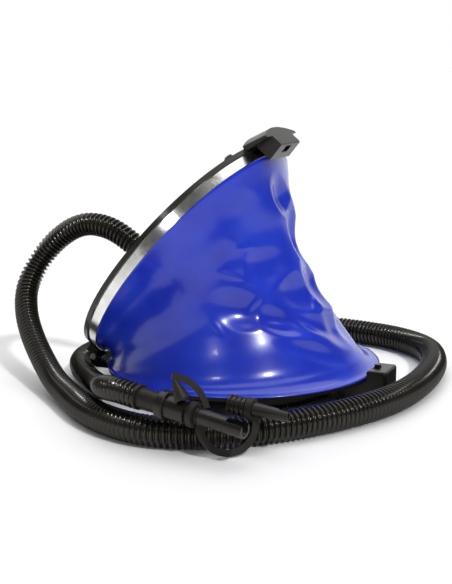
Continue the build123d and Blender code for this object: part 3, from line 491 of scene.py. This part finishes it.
def wall_axes(share, angle):
    """Unit vectors round, up and out of the smooth bellows."""
    step = 1e-3
    low = np.clip(share - step, 0, 1)
    high = np.clip(share + step, 0, 1)
    around = wall_point(share, angle + step) - wall_point(share, angle - step)
    up = wall_point(high, angle) - wall_point(low, angle)
    around = around / np.linalg.norm(around, axis=-1, keepdims=True)
    up = up / np.linalg.norm(up, axis=-1, keepdims=True)
    out = np.cross(around, up)
    out = out / np.linalg.norm(out, axis=-1, keepdims=True)
    return around, up, out


def bowl(points, share, degrees, half_height, half_width, lean, depth):
    """Depth at each point of one smooth bowl pressed into the bellows."""
    centre_share = np.array(share)
    centre_angle = np.array(radians(degrees))
    around, up, out = wall_axes(centre_share, centre_angle)
    turn = radians(lean)
    axis_u = around * cos(turn) + up * sin(turn)
    axis_v = up * cos(turn) - around * sin(turn)
    offset = points - wall_point(centre_share, centre_angle)
    reach = (offset @ axis_u / half_width) ** 2 + (offset @ axis_v / half_height) ** 2
    reach = reach + (offset @ out / (1.2 * half_width)) ** 2
    return depth * np.clip(1 - reach, 0, 1) ** 2


def dent_depth(points):
    """How far the vinyl is pressed in: bowls that meet in soft ridges, less the creases."""
    total = sum(bowl(points, *dent) ** RIDGE_POWER for dent in DENTS)
    return total ** (1 / RIDGE_POWER) - sum(bowl(points, *crease) for crease in CREASES)


def make_bellows():
    """Closed vinyl wall: lip, buckled outside, sleeve under the band, and a plain inside."""
    angles = np.linspace(-pi, pi, BELLOWS_SIDES, endpoint=False)
    ring = np.stack([np.cos(angles), np.sin(angles)], axis=1)
    rows = []

    def base_row(radius, height):
        rows.append(np.column_stack([radius * ring, np.full(len(angles), height)]))

    def plate_row(radius, height):
        rows.append(np.array([on_plate(TOP_CENTRE + radius * c, radius * s, height)
                              for c, s in ring]))

    base_row(FLANGE_R, BASE_TOP + WALL_T)
    base_row(FLANGE_R, BASE_TOP + LIP_GAP)
    base_row(LIP_R, BASE_TOP + LIP_GAP)
    base_row(LIP_R + LIP_ROUND[0], BASE_TOP + LIP_ROUND[1])
    wall_shares = np.linspace(LOWEST_SHARE, HIGHEST_SHARE, BELLOWS_ROWS)
    grid_share, grid_angle = np.meshgrid(wall_shares, angles, indexing="ij")
    wall = wall_point(grid_share, grid_angle)
    out = wall_axes(grid_share, grid_angle)[2]
    wall = wall - out * dent_depth(wall)[..., None]
    wall[..., 2] = np.maximum(wall[..., 2], BASE_TOP + WALL_T)
    for row in range(BELLOWS_ROWS):
        rows.append(wall[row])
    plate_row(SLEEVE_R, SLEEVE_START)
    plate_row(SLEEVE_R, SLEEVE_TOP)
    plate_row(SLEEVE_R - WALL_T, SLEEVE_TOP)
    plate_row(SLEEVE_R - WALL_T, 0.0)
    inside = wall - out * WALL_T * 1.4
    inside[..., 2] = np.maximum(inside[..., 2], BASE_TOP + 1.6 * WALL_T)
    for row in range(BELLOWS_ROWS - 3, 3, -5):
        rows.append(inside[row])
    piece = add_mesh("vinyl_bellows", np.concatenate(rows),
                     grid_faces(len(rows), BELLOWS_SIDES, close_rows=True), VINYL)
    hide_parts("bellows")
    set_blend(piece)
    return piece


make_bellows()

# --- Springs -----------------------------------------------------------------------------------

WIRE_SIDES = 10
RETURN_WIRE_R = 0.0015
RETURN_TURNS = 5
RETURN_LOW_R = 0.027
RETURN_HIGH_R = 0.0125
RETURN_DISTANCE = 0.118
RETURN_LOW_LEAN = radians(2.2)
RETURN_HIGH_LEAN = OPEN_ANGLE + radians(2.7)
RETURN_POINTS = 241
SMALL_WIRE_R = 0.0003
LATCH_TURNS = 4
LATCH_COIL_R = 0.0026
LATCH_POINTS = 97
OUTLET_TURNS = 2.5
OUTLET_COIL_R = 0.0074
OUTLET_PLACE = 0.090
OUTLET_BOTTOM = 0.0141
OUTLET_HEIGHT = 0.0035
OUTLET_POINTS = 73


def make_coil(name, node, points, wire):
    """Round wire that follows points, closed at both ends."""
    points = np.array(points)
    directions = np.gradient(points, axis=0)
    directions = directions / np.linalg.norm(directions, axis=1)[:, None]
    ups, sides = carried_frames(directions, (0.3, 0.5, 0.8))
    angles = np.linspace(0, 2 * pi, WIRE_SIDES, endpoint=False)
    wall = (points[:, None, :] + wire * (ups[:, None, :] * np.cos(angles)[None, :, None]
                                         + sides[:, None, :] * np.sin(angles)[None, :, None]))
    faces = grid_faces(len(points), WIRE_SIDES)
    faces.append(tuple(range(WIRE_SIDES)))
    last = (len(points) - 1) * WIRE_SIDES
    faces.append(tuple(last + index for index in reversed(range(WIRE_SIDES))))
    piece = add_mesh(name, wall.reshape(-1, 3), faces, SPRING)
    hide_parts(node)
    set_blend(piece)


def make_return_spring():
    """Conical spring whose axis bends between the base and the tread plate."""
    shares = np.linspace(0, 1, RETURN_POINTS)
    turns = 2 * pi * RETURN_TURNS * shares
    radius = RETURN_LOW_R + (RETURN_HIGH_R - RETURN_LOW_R) * shares
    lean = RETURN_LOW_LEAN + (RETURN_HIGH_LEAN - RETURN_LOW_LEAN) * shares
    distance = RETURN_DISTANCE + radius * np.cos(turns)
    points = np.column_stack([WEDGE.x + distance * np.cos(lean), radius * np.sin(turns),
                              WEDGE.z + distance * np.sin(lean)])
    make_coil("bent_return_spring", "return_spring", points, RETURN_WIRE_R)


def make_latch_spring():
    """Small spring that pushes the release button out."""
    low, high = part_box("latch_spring")
    middle = [(a + b) / 2 for a, b in zip(low, high)]
    shares = np.linspace(0, 1, LATCH_POINTS)
    turns = 2 * pi * LATCH_TURNS * shares
    length = high[1] - low[1] - 2 * SMALL_WIRE_R
    points = np.column_stack([middle[0] + LATCH_COIL_R * np.cos(turns),
                              low[1] + SMALL_WIRE_R + length * shares,
                              middle[2] + LATCH_COIL_R * np.sin(turns)])
    make_coil("coiled_latch_spring", "latch_spring", points, SMALL_WIRE_R)


def make_outlet_spring():
    """Small spring that holds the outlet valve's disc on its seat."""
    shares = np.linspace(0, 1, OUTLET_POINTS)
    turns = 2 * pi * OUTLET_TURNS * shares
    points = [on_plate(OUTLET_PLACE + OUTLET_COIL_R * cos(turn), OUTLET_COIL_R * sin(turn),
                       OUTLET_BOTTOM + OUTLET_HEIGHT * share)
              for share, turn in zip(shares, turns)]
    make_coil("coiled_outlet_spring", "outlet_spring", points, SMALL_WIRE_R)


make_return_spring()
make_latch_spring()
make_outlet_spring()

# --- Floor and light ---------------------------------------------------------------------------

FLOOR_EDGE = 40.0
# Brightness of the room away from its white wall.
ROOM = 0.1
# Where the wall behind the object, and the white low down, start and reach full brightness.
WALL_SPREAD = (0.55, 0.93)
LOW_SPREAD = (-0.16, -0.06)
KEY_STRENGTH = 1.6
KEY_ANGLE = radians(6)
SKY_STRENGTH = 1.9
SKY_ANGLE = radians(70)
WINDOW_SIZE = 0.16
WINDOW_POWER = 2.0


def make_floor():
    """Plain pale floor."""
    mesh = bpy.data.meshes.new("floor")
    corners = [(-FLOOR_EDGE, -FLOOR_EDGE, 0), (FLOOR_EDGE, -FLOOR_EDGE, 0),
               (FLOOR_EDGE, FLOOR_EDGE, 0), (-FLOOR_EDGE, FLOOR_EDGE, 0)]
    mesh.from_pydata(corners, [], [(0, 1, 2, 3)])
    plane = bpy.data.objects.new("floor", mesh)
    bpy.context.scene.collection.objects.link(plane)
    n = Nodes("floor")
    mesh.materials.append(n.finish(Base_Color=(0.93, 0.93, 0.93, 1), Roughness=0.6))


def add_light(name, place, target, size, power):
    """Soft square light that points at a target."""
    data = bpy.data.lights.new(name, "AREA")
    data.size = size
    data.energy = power
    light = bpy.data.objects.new(name, data)
    light.location = place
    light.rotation_euler = (Vector(target) - Vector(place)).to_track_quat("-Z", "Y").to_euler()
    bpy.context.scene.collection.objects.link(light)


def add_sun(name, direction, strength, angle):
    """Distant light, which lights the whole floor evenly."""
    data = bpy.data.lights.new(name, "SUN")
    data.energy = strength
    data.angle = angle
    light = bpy.data.objects.new(name, data)
    light.rotation_euler = (-Vector(direction)).to_track_quat("-Z", "Y").to_euler()
    bpy.context.scene.collection.objects.link(light)


def make_world():
    """Dim studio with a white wall behind the object and white low down all round."""
    world = bpy.data.worlds.new("studio")
    world.use_nodes = True
    tree = world.node_tree
    background = tree.nodes["Background"]
    background.inputs["Color"].default_value = (1, 1, 1, 1)
    place = tree.nodes.new("ShaderNodeTexCoord")

    def part(direction, start, end):
        """1 where the view's direction has more than end along a direction, 0 below start."""
        toward = tree.nodes.new("ShaderNodeVectorMath")
        toward.operation = "DOT_PRODUCT"
        toward.inputs[1].default_value = direction
        tree.links.new(place.outputs["Generated"], toward.inputs[0])
        spread = tree.nodes.new("ShaderNodeMapRange")
        spread.interpolation_type = "SMOOTHSTEP"
        spread.inputs["From Min"].default_value = start
        spread.inputs["From Max"].default_value = end
        spread.inputs["To Min"].default_value = ROOM
        tree.links.new(toward.outputs["Value"], spread.inputs["Value"])
        return spread.outputs["Result"]

    larger = tree.nodes.new("ShaderNodeMath")
    larger.operation = "MAXIMUM"
    tree.links.new(part((-sin(AZIMUTH), cos(AZIMUTH), 0), *WALL_SPREAD), larger.inputs[0])
    tree.links.new(part((0, 0, -1), *LOW_SPREAD), larger.inputs[1])
    tree.links.new(larger.outputs["Value"], background.inputs["Strength"])
    bpy.context.scene.world = world


make_floor()
make_world()
add_sun("key", (0.62, -0.36, 0.72), KEY_STRENGTH, KEY_ANGLE)
add_sun("sky", (-0.1, 0.3, 1.0), SKY_STRENGTH, SKY_ANGLE)
add_light("window", (0.1, -1.3, 1.0), (0, 0, 0.08), WINDOW_SIZE, WINDOW_POWER)
bpy.context.scene.view_settings.view_transform = "Standard"
